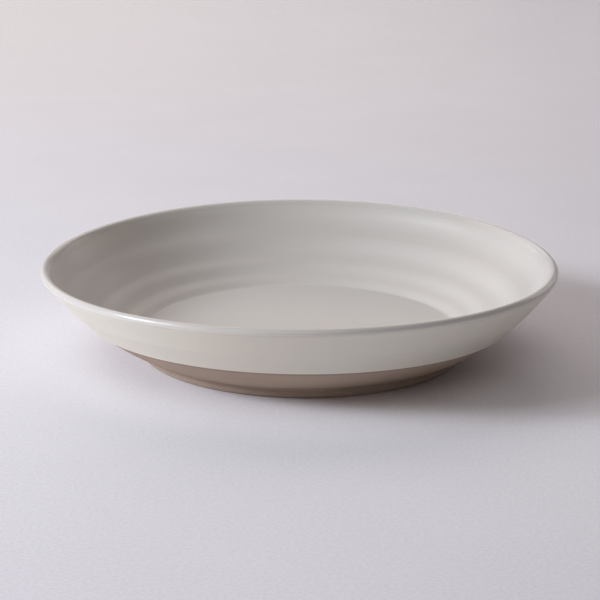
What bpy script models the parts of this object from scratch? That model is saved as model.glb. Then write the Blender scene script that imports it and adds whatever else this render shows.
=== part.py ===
"""Low stoneware serving bowl: a thrown body on a foot ring, under a white glaze.

Metres, +Z up. The origin is the centre of the foot's underside, and every piece
is turned about Z from its own half profile, drawn as (radius, height).
"""

import math

import bmesh
import bpy
from mathutils import Vector
from mathutils.geometry import interpolate_bezier

# Overall
BOWL_RADIUS = 0.1600
BOWL_HEIGHT = 0.0584
TURNING_STEPS = 56
SEAT_GAP = 0.0003

# Lip: a round bead, its outside on the bowl's radius and its top on the bowl's height
LIP_RADIUS = 0.0023

# Glaze: it stands a little proud of the bare clay, and the clay is let in beneath it
GLAZE_THICKNESS = 0.0005
GLAZE_PROUD = 0.0002
GLAZE_LINE_RADIUS = 0.1322
GLAZE_LINE_HEIGHT = 0.0243

# Foot ring: a narrow waist under the wall, then a flare out to the edge that stands
FOOT_RADIUS = 0.1012
FOOT_HEIGHT = 0.0043
FOOT_WAIST_RADIUS = 0.0988
FOOT_INNER_RADIUS = 0.0894
FOOT_EDGE_ROUND = 0.0009
FOOT_SLOPE_AT_WAIST = -88.0
FOOT_SLOPE_AT_FLARE = -58.0

# Wall: slopes in degrees above level. Outside, a turned stretch runs from the crease over the
# foot to the glaze line, and a thrown stretch, steeper from the start, runs on to the lip
CREASE_RADIUS = 0.0994
TURNED_SLOPE_AT_CREASE = 18.3
TURNED_SLOPE_AT_GLAZE = 35.5
THROWN_SLOPE_AT_GLAZE = 45.0
THROWN_SLOPE_AT_LIP = 60.0
INNER_SLOPE_AT_WELL = 17.0
INNER_SLOPE_AT_LIP = 56.0

# Well: the flat floor, a small step below the foot of the inner wall
WELL_RADIUS = 0.0985
WELL_FLOOR_HEIGHT = 0.0128
WELL_STEP = 0.0004
FLOOR_DOME = 0.0006

# Throwing rings, left by the fingers up the inner wall
RING_PITCH = 0.0154
RING_DEPTH = 0.00045
FIRST_RING_RADIUS = 0.1025
RING_FADE = 0.0060

SHARP_ANGLE = 35.0
LIP_CENTRE = Vector((BOWL_RADIUS - LIP_RADIUS, BOWL_HEIGHT - LIP_RADIUS))
GLAZE_LINE = Vector((GLAZE_LINE_RADIUS, GLAZE_LINE_HEIGHT))
CLAY_LIP_RADIUS = LIP_RADIUS - GLAZE_PROUD
GLAZE_UNDERSIDE = GLAZE_PROUD - GLAZE_THICKNESS
CLAY_UNDER_GLAZE = GLAZE_UNDERSIDE - SEAT_GAP


def polar(length, degrees):
    """A step of this length at this many degrees above level."""
    angle = math.radians(degrees)
    return Vector((length * math.cos(angle), length * math.sin(angle)))


def arc(centre, radius, start, end, count):
    """Points along an arc, both ends included, between two angles in degrees."""
    step = (end - start) / (count - 1)
    return [centre + polar(radius, start + step * i) for i in range(count)]


def sweep(start, start_slope, end, end_slope, count):
    """A smooth stretch that leaves start at one slope, in degrees, and meets end at another."""
    reach = (end - start).length / 3
    leaving = start + polar(reach, start_slope)
    meeting = end - polar(reach, end_slope)
    return interpolate_bezier(start, leaving, meeting, end, count)


def offset(points, distance):
    """The open profile moved sideways, to the left of its direction of travel."""
    moved = []
    for i, point in enumerate(points):
        before = points[max(i - 1, 0)]
        after = points[min(i + 1, len(points) - 1)]
        along = (after - before).normalized()
        moved.append(point + distance * Vector((-along.y, along.x)))
    return moved


def thrown(point, lip_edge):
    """A point of the inner wall, raised or lowered by the throwing rings."""
    turn = math.tau * (point.x - FIRST_RING_RADIUS) / RING_PITCH
    fade = min(1.0, (lip_edge.x - point.x) / RING_FADE)
    return point + Vector((0, RING_DEPTH * fade * math.sin(turn)))


def inner_surface():
    """The inside, from the centre of the well to the lip's inner edge."""
    floor = WELL_FLOOR_HEIGHT - GLAZE_PROUD
    well = [Vector((WELL_RADIUS * share, floor)) for share in (0, 0.45, 0.9, 1)]
    lip_edge = LIP_CENTRE + polar(CLAY_LIP_RADIUS, 90 + INNER_SLOPE_AT_LIP)
    foot_of_wall = Vector((WELL_RADIUS + WELL_STEP, floor + WELL_STEP))
    wall = sweep(foot_of_wall, INNER_SLOPE_AT_WELL, lip_edge, INNER_SLOPE_AT_LIP, 20)
    return well + [thrown(point, lip_edge) for point in wall]


def lip_surface():
    """The lip, from the inner wall over the top to the outer wall."""
    start = 90 + INNER_SLOPE_AT_LIP
    end = THROWN_SLOPE_AT_LIP - 90
    return arc(LIP_CENTRE, CLAY_LIP_RADIUS, start, end, 7)[1:-1]


def thrown_surface():
    """The outside from the lip down to the glaze line."""
    lip_edge = LIP_CENTRE + polar(CLAY_LIP_RADIUS, THROWN_SLOPE_AT_LIP - 90)
    rising = sweep(GLAZE_LINE, THROWN_SLOPE_AT_GLAZE, lip_edge, THROWN_SLOPE_AT_LIP, 9)
    return rising[::-1]


def turned_surface():
    """The bare outside from the glaze line down to the crease over the foot."""
    crease = Vector((CREASE_RADIUS, FOOT_HEIGHT + SEAT_GAP))
    rising = sweep(crease, TURNED_SLOPE_AT_CREASE, GLAZE_LINE, TURNED_SLOPE_AT_GLAZE, 7)
    return rising[::-1]


def body_profile():
    """The clay: let in under the glaze, bare below the glaze line, flat on the foot ring."""
    covered = inner_surface() + lip_surface() + thrown_surface()
    seat = Vector((FOOT_INNER_RADIUS - FLOOR_DOME, FOOT_HEIGHT + SEAT_GAP))
    underside = Vector((0, FOOT_HEIGHT + SEAT_GAP + FLOOR_DOME))
    return offset(covered, CLAY_UNDER_GLAZE) + turned_surface() + [seat, underside]


def foot_profile():
    """The ring: hollowed at the waist, flared below it and rounded at both edges."""
    outer_edge = Vector((FOOT_RADIUS - FOOT_EDGE_ROUND, FOOT_EDGE_ROUND))
    inner_edge = Vector((FOOT_INNER_RADIUS + 2 * FOOT_EDGE_ROUND, FOOT_EDGE_ROUND))
    waist = Vector((FOOT_WAIST_RADIUS, FOOT_HEIGHT))
    rounded = arc(outer_edge, FOOT_EDGE_ROUND, 90 + FOOT_SLOPE_AT_FLARE, -90, 5)
    return [
        *sweep(waist, FOOT_SLOPE_AT_WAIST, rounded[0], FOOT_SLOPE_AT_FLARE, 5),
        *rounded[1:],
        *arc(inner_edge, FOOT_EDGE_ROUND, -90, -170, 4),
        Vector((FOOT_INNER_RADIUS, FOOT_HEIGHT)),
    ]


def glaze_profile():
    """The coat: from the well's centre over the lip to the glaze line, and back beneath."""
    covered = inner_surface() + lip_surface() + thrown_surface()
    up_the_wall = (covered[-2] - GLAZE_LINE).normalized()
    covered[-1] = GLAZE_LINE + SEAT_GAP * up_the_wall
    return offset(covered, GLAZE_PROUD) + offset(covered, GLAZE_UNDERSIDE)[::-1]


def finish(name, colour, roughness, coat):
    """A material with the fired surface's colour and shine."""
    material = bpy.data.materials.new(name)
    material.use_nodes = True
    shader = material.node_tree.nodes["Principled BSDF"]
    shader.inputs["Base Color"].default_value = (*colour, 1)
    shader.inputs["Roughness"].default_value = roughness
    shader.inputs["Metallic"].default_value = 0
    shader.inputs["Coat Weight"].default_value = coat
    return material


def turned(name, profile, closed, material):
    """One piece turned about Z from its half profile."""
    shape = bmesh.new()
    points = [shape.verts.new((point.x, 0, point.y)) for point in profile]
    edges = [shape.edges.new(pair) for pair in zip(points, points[1:])]
    if closed:
        edges.append(shape.edges.new((points[-1], points[0])))
    bmesh.ops.spin(
        shape,
        geom=points + edges,
        cent=(0, 0, 0),
        axis=(0, 0, 1),
        angle=math.tau,
        steps=TURNING_STEPS,
    )
    bmesh.ops.remove_doubles(shape, verts=shape.verts, dist=1e-6)
    bmesh.ops.recalc_face_normals(shape, faces=shape.faces)
    mesh = bpy.data.meshes.new(name)
    shape.to_mesh(mesh)
    shape.free()
    mesh.shade_smooth()
    mesh.set_sharp_from_angle(angle=math.radians(SHARP_ANGLE))
    mesh.materials.append(material)
    piece = bpy.data.objects.new(name, mesh)
    bpy.context.collection.objects.link(piece)


def main():
    for old in list(bpy.data.objects):
        bpy.data.objects.remove(old)
    clay = finish("bare_stoneware", (0.360, 0.285, 0.240), 0.85, 0.0)
    foot_clay = finish("turned_stoneware", (0.340, 0.265, 0.222), 0.85, 0.0)
    glaze = finish("satin_white_glaze", (0.66, 0.64, 0.60), 0.35, 0.4)
    turned("stoneware_body", body_profile(), False, clay)
    turned("foot_ring", foot_profile(), True, foot_clay)
    turned("glaze_coat", glaze_profile(), False, glaze)


main()
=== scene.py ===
import math

import bpy
from mathutils import Matrix, Vector
from mathutils.geometry import interpolate_bezier


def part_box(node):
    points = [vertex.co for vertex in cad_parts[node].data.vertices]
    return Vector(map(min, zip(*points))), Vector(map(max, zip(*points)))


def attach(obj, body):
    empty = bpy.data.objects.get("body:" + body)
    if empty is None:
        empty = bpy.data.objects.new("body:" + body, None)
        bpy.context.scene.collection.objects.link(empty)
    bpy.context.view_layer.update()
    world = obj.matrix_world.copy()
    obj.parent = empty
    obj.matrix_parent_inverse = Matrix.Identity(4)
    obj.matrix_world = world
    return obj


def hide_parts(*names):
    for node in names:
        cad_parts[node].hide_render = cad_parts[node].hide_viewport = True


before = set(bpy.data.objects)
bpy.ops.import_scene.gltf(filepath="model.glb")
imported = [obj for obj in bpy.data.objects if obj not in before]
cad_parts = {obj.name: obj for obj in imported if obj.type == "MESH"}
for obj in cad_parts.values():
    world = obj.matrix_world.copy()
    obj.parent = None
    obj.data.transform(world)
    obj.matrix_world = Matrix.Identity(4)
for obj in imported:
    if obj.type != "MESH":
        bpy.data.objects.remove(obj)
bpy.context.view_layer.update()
print("frame loaded:", ", ".join(sorted(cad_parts)))

mm = 0.001
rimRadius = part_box("glaze_coat")[1].x
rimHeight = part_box("glaze_coat")[1].z
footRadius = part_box("foot_ring")[1].x
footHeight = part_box("foot_ring")[1].z


# One socket that takes part in plain expressions, and one method for any other node
class Wire:
    def __init__(self, tree, socket=None):
        self.tree = tree
        self.socket = socket

    # settings come first, because they decide which sockets the node has
    def node(self, kind, settings=None, inputs=None, output=0):
        made = self.tree.nodes.new(kind)
        for name, value in (settings or {}).items():
            setattr(made, name, value)
        for key, value in (inputs or {}).items():
            if isinstance(value, Wire):
                self.tree.links.new(value.socket, made.inputs[key])
            else:
                made.inputs[key].default_value = value
        return Wire(self.tree, made.outputs[output])

    def math(self, operation, *values):
        return self.node("ShaderNodeMath", {"operation": operation}, dict(enumerate(values)))

    def __add__(self, other):
        return self.math("ADD", self, other)

    def __radd__(self, other):
        return self.math("ADD", other, self)

    def __sub__(self, other):
        return self.math("SUBTRACT", self, other)

    def __rsub__(self, other):
        return self.math("SUBTRACT", other, self)

    def __mul__(self, other):
        return self.math("MULTIPLY", self, other)

    def __rmul__(self, other):
        return self.math("MULTIPLY", other, self)

    def __truediv__(self, other):
        return self.math("DIVIDE", self, other)

    def __rtruediv__(self, other):
        return self.math("DIVIDE", other, self)

    # 0 below low, 1 above high, smooth between them
    def ease(self, low, high):
        return self.node(
            "ShaderNodeMapRange",
            {"interpolation_type": "SMOOTHSTEP"},
            {"Value": self, "From Min": low, "From Max": high},
        )

    def part(self, axis):
        return self.node("ShaderNodeSeparateXYZ", None, {0: self}, axis)

    def vector(self, x, y, z):
        return self.node("ShaderNodeCombineXYZ", None, {"X": x, "Y": y, "Z": z})

    # colours are mixed as colours: self is the mask
    def mix(self, first, second, blend="MIX"):
        settings = {"data_type": "RGBA", "blend_type": blend}
        return self.node("ShaderNodeMix", settings, {0: self, 6: first, 7: second}, 2)


# The bowl's half profile is drawn as (radius, height), from the middle of the well
# over the lip and down to the foot, so the left of travel is always the outside
form = {
    "stepsAround": 300,
    "rimIn": 0.3 * mm,  # this bowl's rim, against the even one of the frame
    "rimDown": 0.4 * mm,
    "lipRadius": 2.5 * mm,
    "innerLipRadius": 6.5 * mm,  # softer towards the inside
    "lipSoftTo": 116,  # in degrees round the lip from level, where the tight bead begins
    "lipEndAngle": -30,
    "wellRadius": 98.5 * mm,
    "wellHeight": 12.8 * mm,
    "wallStep": (0.4 * mm, 0.2 * mm),  # from the edge of the well to the foot of the wall
    "innerSlopeAtWell": 24,  # slopes are in degrees above level
    "innerSlopeAtLip": 52,
    "breakRadius": 145.6 * mm,  # the outer wall turns steeper here
    "breakHeight": 37.8 * mm,
    "upperSlopes": (50.0, 52),
    "lowerSlopes": (45.0, 45.4),
    "glazeLineRadius": 132.4 * mm,
    "glazeLineHeight": 24.5 * mm,
    "turnedSlopes": (18.3, 38.5),
    "creaseRadius": 99.4 * mm,
    "creaseHeight": 4.6 * mm,
    "ridgeRadius": 29.0 * mm,  # the faint ring left by the wiping sponge
    "ridgeHeight": 0.10 * mm,
    "ridgeWidth": 2.4 * mm,
}
throwing = {
    "Ring depth": 0.13 * mm,
    "Ring swell": 10.5,  # how much deeper the rings are at the lip
    "Ring pitch": 11.0 * mm,
    "Ring growth": 0.11,  # the rings widen towards the lip
    "First ring": 101.5 * mm,
    "Ring wander": 0.10,  # in turns of a ring
    "Warp": 1.54 * mm,
    "Warp from": 0.5 * mm,
    "Warp to": 7.0 * mm,
    "Wobble": 0.08 * mm,
    "Lean": 2.3 * mm,  # how far the rim sits off the foot's centre, to the left
    "Dip front": 0.66 * mm,  # the rim hangs this much lower in front, and lower on the left
    "Dip left": 0.74 * mm,
    "Line tilt": 0.55 * mm,  # the glaze line climbs towards the left
    "Rim radius": rimRadius,
    "Rim height": rimHeight,
    "Seed": 7.0,
}
ringFade = 8.0 * mm  # below the lip
lipReach = 2.5 * mm  # the smooth finish of the lip fades over this
stillRadius = 20.0 * mm  # nothing strays at the axis, so the middle closes to a point
lineReach = 9.0 * mm  # the wall this far from the glaze line moves with its tilt
lineSlope = 0.7  # of the tilt, evenly from right to left
lineEnd = 0.5  # and of the tilt once more, at the far left alone
lineEndPower = 6
driftSpread = 9.0  # how soon the slow changes differ, from the middle outwards
ringDrift = (0.9, 3.0)  # scale of a slow change, and its own stretch of the noise
reachDrift = (1.1, 11.0)
riseDrift = (1.3, 23.0)
weldReach = 0.002 * mm


def heading(degrees):
    return Vector((math.cos(math.radians(degrees)), math.sin(math.radians(degrees))))


def sweep(start, startSlope, end, endSlope, count):
    first, last = Vector(start), Vector(end)
    reach = (last - first).length / 3
    leave = first + heading(startSlope) * reach
    arrive = last - heading(endSlope) * reach
    return [tuple(p[:2]) for p in interpolate_bezier(first, leave, arrive, last, count)]


def arc(centre, radius, fromAngle, toAngle, count):
    turn = (toAngle - fromAngle) / (count - 1)
    return [tuple(Vector(centre) + heading(fromAngle + turn * i) * radius) for i in range(count)]


# moved to the left of travel, which is outwards
def shifted(points, distance):
    moved = []
    for i, point in enumerate(points):
        along = Vector(points[min(i + 1, len(points) - 1)]) - Vector(points[max(i - 1, 0)])
        along.normalize()
        moved.append((point[0] - along.y * distance, point[1] + along.x * distance))
    return moved


lipCentre = (
    rimRadius - form["rimIn"] - form["lipRadius"],
    rimHeight - form["rimDown"] - form["lipRadius"],
)
glazeLine = (form["glazeLineRadius"], form["glazeLineHeight"])
crease = (form["creaseRadius"], form["creaseHeight"])


def wellFloor(count):
    edge = form["wellRadius"]
    points = []
    for i in range(count):
        radius = edge * i / (count - 1)
        ridge = math.exp(-(((radius - form["ridgeRadius"]) / form["ridgeWidth"]) ** 2))
        points.append((radius, form["wellHeight"] + form["ridgeHeight"] * ridge))
    return points


# a soft arc up from the inner wall, then the tight one of the bead
def lipArcs(count):
    turn, softer = form["lipSoftTo"], form["innerLipRadius"]
    start = 90 + form["innerSlopeAtLip"]
    softCentre = Vector(lipCentre) + heading(turn) * (form["lipRadius"] - softer)
    inner = arc(softCentre, softer - glaze["proud"], start, turn, count)
    outer = arc(lipCentre, form["lipRadius"] - glaze["proud"], turn, form["lipEndAngle"], 2 * count)
    return inner[:-1] + outer


def innerWall(count):
    stepOut, stepUp = form["wallStep"]
    start = (form["wellRadius"] + stepOut, form["wellHeight"] + stepUp - glaze["proud"])
    return sweep(start, form["innerSlopeAtWell"], lipArcs(2)[0], form["innerSlopeAtLip"], count)


def lip(count):
    return lipArcs(count)[1:-1]


# drawn upwards from the glaze line, then turned round
def thrownWall(count):
    turnOver = (form["breakRadius"], form["breakHeight"])
    end = lipArcs(2)[-1]
    lower = sweep(glazeLine, form["lowerSlopes"][0], turnOver, form["lowerSlopes"][1], count)
    upper = sweep(turnOver, form["upperSlopes"][0], end, form["upperSlopes"][1], count)
    return (lower[:-1] + upper)[::-1]


def turnedWall(count):
    return sweep(crease, form["turnedSlopes"][0], glazeLine, form["turnedSlopes"][1], count)[::-1]


# how strongly the throwing rings show at each point of an inner wall
def ringWeights(points):
    shares = [min(1.0, (Vector(points[-1]) - Vector(p)).length / ringFade) for p in points]
    return [share * share * (3 - 2 * share) for share in shares]


# 1 at one end of a line of points, and 0 once it is well away
def nearness(points, end):
    return [max(0.0, 1 - (Vector(p) - Vector(end)).length / lipReach) for p in points]


# The wheel: every piece is its half profile turned about the upright axis, then given the
# rings of the potter's fingers and the slow bend of the kiln
wheelInputs = {"Profile": "Geometry", "Steps around": "Int", "Finish": "Material"}
wheelInputs.update({name: "Float" for name in throwing})


def makeWheel():
    tree = bpy.data.node_groups.new("turnOnWheel", "GeometryNodeTree")
    for name, kind in wheelInputs.items():
        tree.interface.new_socket(name, in_out="INPUT", socket_type="NodeSocket" + kind)
    tree.interface.new_socket("Turned", in_out="OUTPUT", socket_type="NodeSocketGeometry")
    given = tree.nodes.new("NodeGroupInput")
    take = {name: Wire(tree, given.outputs[name]) for name in wheelInputs}
    w = Wire(tree)

    count = w.node("GeometryNodeAttributeDomainSize", None, {"Geometry": take["Profile"]})
    columns = take["Steps around"] + 1
    grid = w.node("GeometryNodeMeshGrid", None, {"Vertices X": count, "Vertices Y": columns})
    index = w.node("GeometryNodeInputIndex")
    row = w.math("FLOOR", (index + 0.5) / columns)
    turn = (index - row * columns) * (2 * math.pi) / take["Steps around"]

    place = w.node("GeometryNodeInputPosition")
    drawn = w.node(
        "GeometryNodeSampleIndex",
        {"data_type": "FLOAT_VECTOR"},
        {"Geometry": take["Profile"], "Value": place, "Index": row},
    )

    def drawnMark(name):
        mark = w.node("GeometryNodeInputNamedAttribute", {"data_type": "FLOAT"}, {"Name": name})
        return w.node(
            "GeometryNodeSampleIndex",
            {"data_type": "FLOAT"},
            {"Geometry": take["Profile"], "Value": mark, "Index": row},
        )

    ringed, lined = drawnMark("ringed"), drawnMark("lined")
    radius, height = drawn.part(0), drawn.part(2)
    sine, cosine = w.math("SINE", turn), w.math("COSINE", turn)

    # slow changes round the bowl come from noise on a circle, so they close up
    def drift(scale, stretch):
        where = w.vector(cosine, sine, radius * driftSpread + stretch)
        noise = w.node(
            "ShaderNodeTexNoise",
            {"noise_dimensions": "4D"},
            {"Vector": where, "W": take["Seed"], "Scale": scale, "Detail": 1.0},
        )
        return noise * 2 - 1

    out = radius - take["First ring"]
    phase = out / (take["Ring pitch"] + take["Ring growth"] * out)
    phase = (phase + take["Ring wander"] * drift(*ringDrift)) * (2 * math.pi)
    wave = w.math("SINE", phase) * ringed
    step = w.math("COSINE", phase) * ringed
    lift = height.ease(take["Warp from"], take["Warp to"])
    share = radius / take["Rim radius"]
    rise = height / take["Rim height"]
    bend = take["Warp"] * share * share * w.math("COSINE", turn * 2) * lift
    calm = radius.ease(0.0, stillRadius)
    dip = take["Dip front"] * cosine - take["Dip left"] * sine
    bend = bend - dip * rise * rise * rise * calm
    leftmost = w.math("POWER", w.math("MAXIMUM", sine * -1, 0.0), lineEndPower)
    climb = take["Line tilt"] * (leftmost * lineEnd - sine * lineSlope) * lined
    stray = take["Wobble"] * lift
    newRadius = radius + stray * drift(*reachDrift) * share + climb
    ring = take["Ring depth"] * (1 + take["Ring swell"] * rise * rise) * wave
    newHeight = height + ring + bend + stray * drift(*riseDrift) * calm + climb

    turned = w.node(
        "GeometryNodeSetPosition",
        None,
        {
            "Geometry": grid,
            "Position": w.vector(
                newRadius * sine - take["Lean"] * rise,
                newRadius * cosine * -1,
                newHeight,
            ),
        },
    )
    for name, value in (
        ("ringStep", step),
        ("nearLine", lined),
        ("outerFace", drawnMark("outer")),
        ("lipFace", drawnMark("lipped")),
    ):
        turned = w.node(
            "GeometryNodeStoreNamedAttribute",
            {"data_type": "FLOAT", "domain": "POINT"},
            {"Geometry": turned, "Name": name, "Value": value},
        )
    turned = w.node(
        "GeometryNodeMergeByDistance", None, {"Geometry": turned, "Distance": weldReach}
    )
    turned = w.node("GeometryNodeSetShadeSmooth", None, {"Geometry": turned})
    turned = w.node("GeometryNodeRealizeInstances", None, {"Geometry": turned})
    turned = w.node(
        "GeometryNodeSetMaterial", None, {"Geometry": turned, "Material": take["Finish"]}
    )
    ending = tree.nodes.new("NodeGroupOutput")
    tree.links.new(turned.socket, ending.inputs["Turned"])
    return tree


wheel = makeWheel()
print("wheel ready:", len(wheel.nodes), "nodes")


def turnPiece(name, profile, marks, finish):
    drawing = bpy.data.meshes.new(name + "Profile")
    drawing.from_pydata(
        [(radius, 0, height) for radius, height in profile],
        [(i, i + 1) for i in range(len(profile) - 1)],
        [],
    )
    near = [(Vector(point) - Vector(glazeLine)).length / lineReach for point in profile]
    lined = [max(0.0, 1 - n) ** 2 for n in near]
    marks = dict(marks, lined=lined)
    for mark in ("ringed", "lined", "outer", "lipped"):
        values = marks.get(mark, [0.0] * len(profile))
        drawing.attributes.new(mark, "FLOAT", "POINT").data.foreach_set("value", values)
    piece = bpy.data.objects.new(name, drawing)
    bpy.context.scene.collection.objects.link(piece)
    modifier = piece.modifiers.new("turn", "NODES")
    modifier.node_group = wheel
    settings = {**throwing, "Steps around": form["stepsAround"], "Finish": finish}
    for item in wheel.interface.items_tree:
        if item.item_type == "SOCKET" and item.in_out == "INPUT" and item.name in settings:
            modifier[item.identifier] = settings[item.name]
    graph = bpy.context.evaluated_depsgraph_get()
    solid = bpy.data.meshes.new_from_object(piece.evaluated_get(graph))
    piece.modifiers.remove(modifier)
    piece.data = solid
    solid.name = name
    bpy.data.meshes.remove(drawing)
    solid.calc_loop_triangles()
    print(name, "turned:", len(solid.loop_triangles), "triangles")
    return piece


# Finishes: a new material, the wire to write its maths with, and its shader
def newFinish(name):
    finish = bpy.data.materials.new(name)
    finish.use_nodes = True
    shader = finish.node_tree.nodes["Principled BSDF"]
    return finish, Wire(finish.node_tree), shader


def plug(tree, wire, socket):
    tree.links.new(wire.socket, socket)


glazeFinish = {
    "warmWhite": (0.634, 0.612, 0.592, 1),
    "coolWhite": (0.626, 0.616, 0.602, 1),
    "warmOutsideLit": (0.782, 0.736, 0.641, 1),  # painted light: the coat is coloured lighter and creamier outside, standing in for fill light on the outer wall
    "coolOutsideLit": (0.772, 0.741, 0.652, 1),
    "ringLitTone": (0.652, 0.635, 0.619, 1),  # painted light, where the rings are steep
    "ringShadedTone": (0.612, 0.594, 0.578, 1),  # painted shade, where they are level
    "ironSpeck": (0.16, 0.125, 0.10, 1),
    "edgeHighlight": (0.86, 0.83, 0.76, 1),  # painted highlight, where the coat ends
    "edgeHighlightFade": (0.75, 0.95),  # of nearness to the glaze line
    "edgeHighlightStrength": 0.7,
    "patchScale": 13.0,
    "patchFade": (0.35, 0.65),  # from warm to cool
    "roughness": 0.36,
    "roughnessSwing": 0.10,
    "satinScale": 60.0,
    "lipRoughness": 0.18,  # the lip is wiped and fired smoother
    # faint specks inside: degrees round from the front to the right, and out from the middle
    "specks": ((-129, 117 * mm), (-114, 89 * mm), (106, 134 * mm)),
    "speckRadius": 0.7 * mm,
    "speckFade": (0.5, 1.5),  # in radii
    "speckStrength": 0.16,
    "peelSize": 3.5 * mm,
    "peelDepth": 0.006 * mm,
    "refraction": 1.5,
}


def makeGlazeFinish(look):
    finish, w, shader = newFinish("satinWhiteGlaze")
    tree = finish.node_tree
    place = w.node("ShaderNodeTexCoord", None, None, "Object")
    cloud = w.node(
        "ShaderNodeTexNoise", None, {"Vector": place, "Scale": look["patchScale"], "Detail": 3.0}
    )
    patch = cloud.ease(*look["patchFade"])
    # painted light: the outer face takes a lighter, creamier colour, standing in for fill light on
    # the outer wall
    outer = w.node("ShaderNodeAttribute", {"attribute_name": "outerFace"}, None, "Fac")
    colour = outer.mix(
        patch.mix(look["warmWhite"], look["coolWhite"]),
        patch.mix(look["warmOutsideLit"], look["coolOutsideLit"]),
    )
    # painted light and shade along the throwing rings: lighter where they are steep, darker where
    # they are level
    step = w.node("ShaderNodeAttribute", {"attribute_name": "ringStep"}, None, "Fac")
    colour = step.ease(0.0, 1.0).mix(colour, look["ringLitTone"])
    colour = (step * -1).ease(0.0, 1.0).mix(colour, look["ringShadedTone"])
    inside = (1 - outer) * look["speckStrength"]
    speckFrom, speckTo = (look["speckRadius"] * share for share in look["speckFade"])
    for degrees, radius in look["specks"]:
        east = place.part(0) - radius * math.sin(math.radians(degrees))
        north = place.part(1) + radius * math.cos(math.radians(degrees))
        away = w.math("SQRT", east * east + north * north)
        speck = 1 - away.ease(speckFrom, speckTo)
        colour = (speck * inside).mix(colour, look["ironSpeck"])
    # painted highlight: a lighter line along the coat's edge at the glaze line
    nearGlazeLine = w.node("ShaderNodeAttribute", {"attribute_name": "nearLine"}, None, "Fac")
    highlit = nearGlazeLine.ease(*look["edgeHighlightFade"]) * look["edgeHighlightStrength"]
    colour = highlit.mix(colour, look["edgeHighlight"])
    plug(tree, colour, shader.inputs["Base Color"])

    satin = w.node(
        "ShaderNodeTexNoise", None, {"Vector": place, "Scale": look["satinScale"], "Detail": 4.0}
    )
    smooth = w.node("ShaderNodeAttribute", {"attribute_name": "lipFace"}, None, "Fac")
    rough = look["roughness"] + (satin - 0.5) * look["roughnessSwing"]
    rough = rough - smooth * (look["roughness"] - look["lipRoughness"])
    plug(tree, rough, shader.inputs["Roughness"])

    peel = w.node(
        "ShaderNodeTexNoise", None, {"Vector": place, "Scale": 1 / look["peelSize"], "Detail": 2.0}
    )
    skin = w.node(
        "ShaderNodeBump",
        None,
        {"Height": peel, "Strength": 1.0, "Distance": look["peelDepth"]},
    )
    plug(tree, skin, shader.inputs["Normal"])
    shader.inputs["IOR"].default_value = look["refraction"]
    return finish


clayFinish = {
    "tone": (0.470, 0.368, 0.294, 1),
    "darkTone": (0.416, 0.324, 0.254, 1),
    "lightGrog": (0.574, 0.481, 0.391, 1),
    "darkGrog": (0.257, 0.198, 0.154, 1),
    "cloudScale": 40.0,
    "toneFade": (0.35, 0.65),  # from the dark tone to the other
    "lightFade": (0.60, 0.74),  # of the grain, where its light grog begins
    "lightStrength": 0.5,
    "darkFade": (0.62, 0.74),
    "darkStrength": 0.6,
    "glazeEdgeShadow": (0.270, 0.205, 0.160, 1),  # painted shadow on the clay just below the glaze's edge
    "glazeEdgeShadowFade": (0.28, 0.45),  # of nearness to the glaze line
    "glazeEdgeShadowStrength": 0.4,
    "darkToeStrength": 0.35,
    "roughness": 0.82,
    "roughnessSwing": 0.2,
    "shine": 0.25,
    "lineSpacing": 1.1 * mm,
    "lineLean": 0.7,  # how much the lines follow the radius beside the height
    "lineRun": 7,  # a line changes about this often along a metre of its length
    "lineDepth": 0.035 * mm,
    "grainSize": 0.45 * mm,
    "grainDepth": 0.030 * mm,
}


def makeClayFinish(name, look, darkToeBelow):
    finish, w, shader = newFinish(name)
    tree = finish.node_tree
    place = w.node("ShaderNodeTexCoord", None, None, "Object")
    x, y, z = place.part(0), place.part(1), place.part(2)
    radius = w.math("SQRT", x * x + y * y)

    # lines of the turning tool run round the axis, on the walls and the underside alike
    across = (z + radius * look["lineLean"]) / look["lineSpacing"]
    along = w.vector(x * look["lineRun"], y * look["lineRun"], across)
    lines = w.node("ShaderNodeTexNoise", None, {"Vector": along, "Scale": 1.0, "Detail": 3.0})
    grain = w.node(
        "ShaderNodeTexNoise",
        None,
        {"Vector": place, "Scale": 1 / look["grainSize"], "Detail": 3.0, "Roughness": 0.6},
    )
    cloud = w.node(
        "ShaderNodeTexNoise", None, {"Vector": place, "Scale": look["cloudScale"], "Detail": 3.0}
    )
    tone = (lines * 0.5 + cloud * 0.5).ease(*look["toneFade"])
    colour = tone.mix(look["darkTone"], look["tone"])
    light = grain.ease(*look["lightFade"]) * look["lightStrength"]
    colour = light.mix(colour, look["lightGrog"])
    dark = (1 - grain).ease(*look["darkFade"]) * look["darkStrength"]
    colour = dark.mix(colour, look["darkGrog"])
    # painted shadow: the clay darkens just below the glaze's edge
    line = w.node("ShaderNodeAttribute", {"attribute_name": "nearLine"}, None, "Fac")
    nearGlazeLine = line.ease(*look["glazeEdgeShadowFade"]) * look["glazeEdgeShadowStrength"]
    colour = nearGlazeLine.mix(colour, look["glazeEdgeShadow"])
    # darker at the very bottom of the foot
    if darkToeBelow:
        darkToe = w.math("LESS_THAN", z, darkToeBelow) * look["darkToeStrength"]
        colour = darkToe.mix(colour, look["darkTone"])
    plug(tree, colour, shader.inputs["Base Color"])
    rough = look["roughness"] + (grain - 0.5) * look["roughnessSwing"]
    plug(tree, rough, shader.inputs["Roughness"])
    fine = w.node(
        "ShaderNodeBump", None, {"Height": grain, "Strength": 1.0, "Distance": look["grainDepth"]}
    )
    ridged = w.node(
        "ShaderNodeBump",
        None,
        {"Height": lines, "Strength": 1.0, "Distance": look["lineDepth"], "Normal": fine},
    )
    plug(tree, ridged, shader.inputs["Normal"])
    shader.inputs["Specular IOR Level"].default_value = look["shine"]
    return finish


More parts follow.
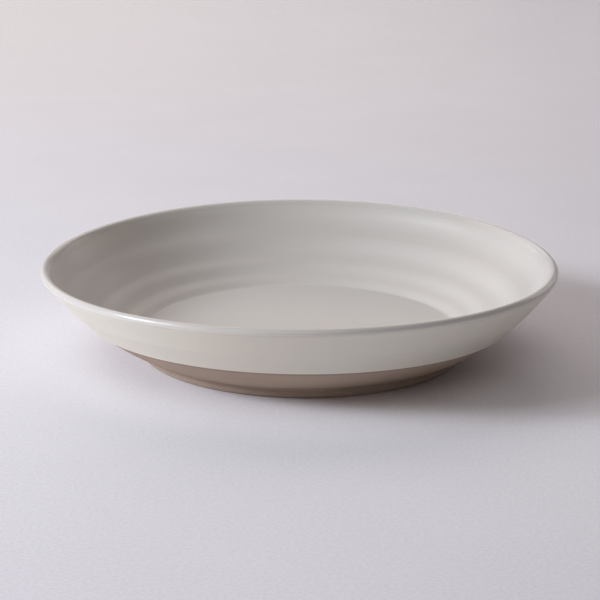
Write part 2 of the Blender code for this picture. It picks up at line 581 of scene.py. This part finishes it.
# Glaze: a thin coat inside, over the lip and down to the level line, with a rounded edge
glaze = {
    "proud": 0.2 * mm,  # above the bare clay
    "sunk": 0.3 * mm,  # below it
    "edgeSwell": 0.15 * mm,
    "edgeRun": 2.0 * mm,
    "floorSteps": 44,
    "topSteps": (76, 7, 26),  # inner wall, lip and outer wall
    "noseSteps": 7,
    "underSteps": (24, 3, 8),
    "outsideBlend": (0.2, 0.45, 0.7, 0.9),  # the colour turns over the lip's outer edge
}


def glazeProfile():
    wallSteps, lipSteps, outsideSteps = glaze["topSteps"]
    floor = wellFloor(glaze["floorSteps"])[:-1]
    wall = innerWall(wallSteps)
    over = lip(lipSteps)
    outside = thrownWall(outsideSteps)
    claySide = wall + over + outside
    edge = Vector(glazeLine)
    top = []
    for point, clay in zip(shifted(claySide, glaze["proud"]), claySide):
        near = max(0.0, 1 - (Vector(clay) - edge).length / glaze["edgeRun"])
        push = (Vector(point) - Vector(clay)).normalized() * glaze["edgeSwell"] * near ** 2
        top.append(tuple(Vector(point) + push))
    noseTop = Vector(top[-1])
    middle = (noseTop + edge) / 2
    half = (noseTop - edge).length / 2
    begin = math.degrees(math.atan2(noseTop.y - middle.y, noseTop.x - middle.x))
    nose = arc(tuple(middle), half, begin, begin - 180, glaze["noseSteps"])[1:]

    wallSteps, lipSteps, outsideSteps = glaze["underSteps"]
    underWall = innerWall(wallSteps)
    underRest = (lip(lipSteps) + thrownWall(outsideSteps))[:-1]
    under = shifted(underWall + underRest, -glaze["sunk"])[::-1]
    low = form["wellHeight"] - glaze["proud"] - glaze["sunk"]
    below = [(form["wellRadius"], low), (0, low)]
    profile = floor + top + nose + under + below

    ringed = [0.0] * len(floor) + ringWeights(wall)
    ringed += [0.0] * len(over + outside + nose + underRest)
    ringed += ringWeights(underWall)[::-1] + [0.0] * len(below)
    blend = list(glaze["outsideBlend"])
    outer = [0.0] * (len(floor + wall + over) - len(blend) // 2) + blend
    outer += [1.0] * (len(profile) - len(outer))
    lipped = [0.0] * len(floor) + nearness(wall, wall[-1]) + [1.0] * len(over)
    lipped += nearness(outside, outside[0])
    lipped += [0.0] * (len(profile) - len(lipped))
    return profile, {"ringed": ringed, "outer": outer, "lipped": lipped}


glazeMaterial = makeGlazeFinish(glazeFinish)
glazeCoat = turnPiece("glazeCoat", *glazeProfile(), glazeMaterial)

# Stoneware body: bare below the glaze line and in the recess of the foot
body = {
    "letIn": 0.25 * mm,  # the clay lies this far back under the glaze
    "recessRadius": 88.8 * mm,
    "recessHeight": 4.6 * mm,
    "recessDome": 0.6 * mm,
    "hiddenSteps": (36, 3, 12),  # inner wall, lip and outer wall
    "bareSteps": 48,
    "recessSteps": 12,
}


def bodyProfile():
    wallSteps, lipSteps, outsideSteps = body["hiddenSteps"]
    wall = innerWall(wallSteps)
    hidden = shifted(wall + lip(lipSteps) + thrownWall(outsideSteps)[:-1], -body["letIn"])
    low = form["wellHeight"] - glaze["proud"] - body["letIn"]
    floor = [(0, low), (form["wellRadius"], low)]
    recess = []
    for i in range(body["recessSteps"] + 1):
        radius = body["recessRadius"] * (1 - i / body["recessSteps"])
        dome = body["recessDome"] * (1 - (radius / body["recessRadius"]) ** 2)
        recess.append((radius, body["recessHeight"] + dome))
    profile = floor + hidden + turnedWall(body["bareSteps"]) + recess
    ringed = [0.0] * len(floor) + ringWeights(wall)
    ringed += [0.0] * (len(profile) - len(ringed))
    return profile, {"ringed": ringed}


clayMaterial = makeClayFinish("bareStoneware", clayFinish, None)
stonewareBody = turnPiece("stonewareBody", *bodyProfile(), clayMaterial)

# Foot ring: hollowed under the wall and flared where it stands
foot = {
    "waistRadius": 101.15 * mm,
    "waistHeight": 4.3 * mm,
    "waistSlope": 10,  # degrees from upright
    "filletReach": 4.7 * mm,  # how far the clay is smoothed up on to the wall
    "filletTurn": 2,  # degrees steeper than the wall at the crease
    "buried": (0.6 * mm, 0.3 * mm),  # the fillet's edge, in and up behind the wall's face
    "edgeOut": 0.5 * mm,  # past the even foot of the frame
    "edgeRound": 2.5 * mm,
    "flareSlope": 30,
    "standInnerRadius": 91.2 * mm,
    "innerRadius": 89.4 * mm,
    "innerEdgeEnd": -165,  # the hidden side, in degrees from level
    "innerSlopes": (105, 100),
    "seat": 0.6 * mm,  # how far the top reaches up into the body
    "darkToeHeight": 0.4 * mm,  # darker at the bottom of the foot, up to here
    "steps": {"hollow": 14, "spread": 12, "edge": 10, "innerEdge": 7, "innerSide": 8},
}


def footProfile():
    steps, edgeRound = foot["steps"], foot["edgeRound"]
    waistHeading, flareHeading = 270 + foot["waistSlope"], 270 + foot["flareSlope"]
    wall = turnedWall(body["bareSteps"])[::-1]
    meet = next(p for p in wall if p[0] > crease[0] + foot["filletReach"])
    meetHeading = 180 + form["turnedSlopes"][0] + foot["filletTurn"]
    buried = (meet[0] - foot["buried"][0], meet[1] + foot["buried"][1])
    waist = (foot["waistRadius"], foot["waistHeight"])
    hollow = sweep(meet, meetHeading, waist, waistHeading, steps["hollow"])
    edgeCentre = (footRadius + foot["edgeOut"] - edgeRound, edgeRound)
    outer = arc(edgeCentre, edgeRound, foot["flareSlope"], -90, steps["edge"])
    spread = sweep(waist, waistHeading, outer[0], flareHeading, steps["spread"])[1:-1]
    innerCentre = (foot["standInnerRadius"], edgeRound)
    inner = arc(innerCentre, edgeRound, -90, foot["innerEdgeEnd"], steps["innerEdge"])
    innerTop = (foot["innerRadius"], footHeight)
    fromSlope, toSlope = foot["innerSlopes"]
    side = sweep(inner[-1], fromSlope, innerTop, toSlope, steps["innerSide"])[1:]
    seat = (foot["innerRadius"] + foot["seat"], footHeight + foot["seat"])
    return [buried] + hollow + spread + outer + inner + side + [seat, buried], {}


# painted shade: the foot's clay is coloured a little darker than the body's, for the shade under the
# wall
shadedFootFinish = dict(clayFinish, tone=(0.411, 0.325, 0.266, 1), darkTone=(0.365, 0.287, 0.235, 1))
footMaterial = makeClayFinish("turnedStoneware", shadedFootFinish, foot["darkToeHeight"])
footRing = turnPiece("footRing", *footProfile(), footMaterial)

for piece, node, slot in (
    (glazeCoat, "glaze_coat", "satin_white_glaze"),
    (stonewareBody, "stoneware_body", "bare_stoneware"),
    (footRing, "foot_ring", "turned_stoneware"),
):
    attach(piece, "root")
    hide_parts(node)
print("pieces ride on the frame")

# Table: a pale sheet that bends up into a backdrop well behind the bowl
table = {
    "halfSide": 6.0,
    "bendFrom": 1.3,
    "bendRadius": 1.4,
    "backdropHeight": 4.0,
    "bendSteps": 25,
    "colour": (0.897, 0.898, 0.972, 1),
    "shade": (0.876, 0.877, 0.951, 1),
    "shadeScale": 9.0,
    "shadeFade": (0.3, 0.7),
    "grain": (0.85, 0.85, 0.85, 1),
    "grainSize": 1.9 * mm,
    "grainFade": (0.35, 0.65),
    "grainStrength": 0.4,
    "paintedShade": (0.805, 0.805, 0.882, 1),  # painted shade, darker to the right and in front, away from the window; the fades below are in metres
    "rightFade": (0.10, 0.40),
    "rightStrength": 0.6,
    "frontFade": (0.17, 0.40),
    "frontStrength": 0.6,
    "cornerFade": (0.0, 0.2),  # the painted shade in front is deeper on its right
    "cornerStrength": 0.3,
    "paintedLight": (0.965, 0.962, 1.0, 1),  # painted light, far off on the left towards the window
    "farFade": (0.2, 2.0),
    "leftFade": (-0.5, 0.5),
    "paintedShadow": (0.83, 0.83, 0.83, 1),  # painted shadow beside the foot, on the side away from the window
    "paintedShadowAt": (0.093, -0.070),
    "paintedShadowFade": (0.02, 0.065),
    "roughness": 0.9,
    "shine": 0.1,
}


def makeTable():
    finish, w, shader = newFinish("paleSheet")
    place = w.node("ShaderNodeTexCoord", None, None, "Object")
    cloud = w.node(
        "ShaderNodeTexNoise", None, {"Vector": place, "Scale": table["shadeScale"], "Detail": 4.0}
    )
    colour = cloud.ease(*table["shadeFade"]).mix(table["shade"], table["colour"])
    fine = w.node(
        "ShaderNodeTexNoise", None, {"Vector": place, "Scale": 1 / table["grainSize"], "Detail": 2.0}
    )
    x, y = place.part(0), place.part(1)
    # painted shade: the sheet darkens to the right and in front, away from the window
    right = x.ease(*table["rightFade"]) * table["rightStrength"]
    corner = x.ease(*table["cornerFade"]) * table["cornerStrength"]
    front = (y * -1).ease(*table["frontFade"]) * (table["frontStrength"] + corner)
    colour = w.math("MAXIMUM", right, front).mix(colour, table["paintedShade"])
    # painted light: the sheet is lighter far off on the left, towards the window
    farLeft = y.ease(*table["farFade"]) * (x * -1).ease(*table["leftFade"])
    colour = farLeft.mix(colour, table["paintedLight"])
    # painted shadow: a darker patch on the sheet beside the foot
    east, north = x - table["paintedShadowAt"][0], y - table["paintedShadowAt"][1]
    paintedShadow = 1 - w.math("SQRT", east * east + north * north).ease(*table["paintedShadowFade"])
    colour = paintedShadow.mix(colour, table["paintedShadow"], "MULTIPLY")
    grain = fine.ease(*table["grainFade"]) * table["grainStrength"]
    colour = grain.mix(colour, table["grain"], "MULTIPLY")
    plug(finish.node_tree, colour, shader.inputs["Base Color"])
    shader.inputs["Roughness"].default_value = table["roughness"]
    shader.inputs["Specular IOR Level"].default_value = table["shine"]
    half, bend = table["halfSide"], table["bendRadius"]
    line = [(-half, 0)] + arc((table["bendFrom"], bend), bend, -90, 0, table["bendSteps"])
    line.append((table["bendFrom"] + bend, table["backdropHeight"]))
    sheet = bpy.data.meshes.new("table")
    sheet.from_pydata(
        [(side, y, z) for y, z in line for side in (-half, half)],
        [],
        [(2 * i, 2 * i + 1, 2 * i + 3, 2 * i + 2) for i in range(len(line) - 1)],
    )
    sheet.shade_smooth()
    sheet.materials.append(finish)
    floor = bpy.data.objects.new("table", sheet)
    bpy.context.scene.collection.objects.link(floor)


makeTable()

# Light: a window to the left and a little in front, and a dim warm room. Each lamp: degrees
# from the front towards the left, degrees above the table, distance, size, power
light = {
    "aim": (0, 0, 0.03),
    "dayColour": (0.965, 1.0, 1.05),
    "roomColour": (1.10, 0.98, 0.903),
    "roomStrength": 0.146,
    "windows": {
        "window": (74, 25.3, 2.0, (0.34, 0.52), 19.3),
        "curtainFront": (62, 29.6, 2.0, (0.34, 0.48), 7.4),
        "curtainBack": (86, 29.8, 2.0, (0.34, 0.48), 4.6),
    },
    "walls": {
        "wallLeft": (140, 31.6, 2.1, (1.2, 1.5), 5.4),
        "wallBack": (180, 44, 2.1, (1.2, 1.8), 6.8),
        "wallRight": (225, 20, 2.1, (1.2, 0.9), 3.1),
        "wallFront": (0, 45, 2.1, (1.2, 0.9), 2.8),
        "tableGlow": (55, 2.5, 0.9, (0.5, 0.09), 0.42),
    },
}


def hangLamp(name, towards, above, distance, size, power, colour):
    lamp = bpy.data.lights.new(name, "AREA")
    lamp.shape = "RECTANGLE"
    lamp.size, lamp.size_y = size
    lamp.energy = power
    lamp.color = colour
    around, up = math.radians(towards), math.radians(above)
    level = distance * math.cos(up)
    place = Vector((-level * math.sin(around), -level * math.cos(around), distance * math.sin(up)))
    holder = bpy.data.objects.new(name, lamp)
    holder.location = place
    holder.rotation_mode = "QUATERNION"
    holder.rotation_quaternion = (Vector(light["aim"]) - place).to_track_quat("-Z", "Y")
    bpy.context.scene.collection.objects.link(holder)


def makeLight():
    for name, lamp in light["windows"].items():
        hangLamp(name, *lamp, light["dayColour"])
    for name, lamp in light["walls"].items():
        hangLamp(name, *lamp, light["roomColour"])
    room = bpy.data.worlds.new("room")
    room.use_nodes = True
    sky = room.node_tree.nodes["Background"]
    sky.inputs["Color"].default_value = (*light["roomColour"], 1)
    sky.inputs["Strength"].default_value = light["roomStrength"]
    bpy.context.scene.world = room


makeLight()

# Camera: fitted to the rim, the glaze line, the well and the foot in a 600 by 600 picture
view = {
    "distance": 1.100,
    "aside": -1.8 * mm,
    "elevation": 17.31,
    "pitch": 15.78,  # below level
    "roll": 0.35,
    "focalPixels": 1742,
    "picturePixels": 600,
    "sensor": 36.0,
}


def makeCamera():
    lens = bpy.data.cameras.new("camera")
    lens.sensor_width = view["sensor"]
    lens.lens = view["sensor"] * view["focalPixels"] / view["picturePixels"]
    camera = bpy.data.objects.new("camera", lens)
    up = math.radians(view["elevation"])
    place = Vector((0, -math.cos(up), math.sin(up))) * view["distance"]
    place.x = view["aside"]
    look = Matrix.Rotation(math.radians(90 - view["pitch"]), 4, "X")
    tilt = Matrix.Rotation(math.radians(view["roll"]), 4, "Z")
    camera.matrix_world = Matrix.Translation(place) @ look @ tilt
    bpy.context.scene.collection.objects.link(camera)
    bpy.context.scene.camera = camera


makeCamera()
bpy.context.scene.view_settings.view_transform = "Standard"
print("table, light and camera set")
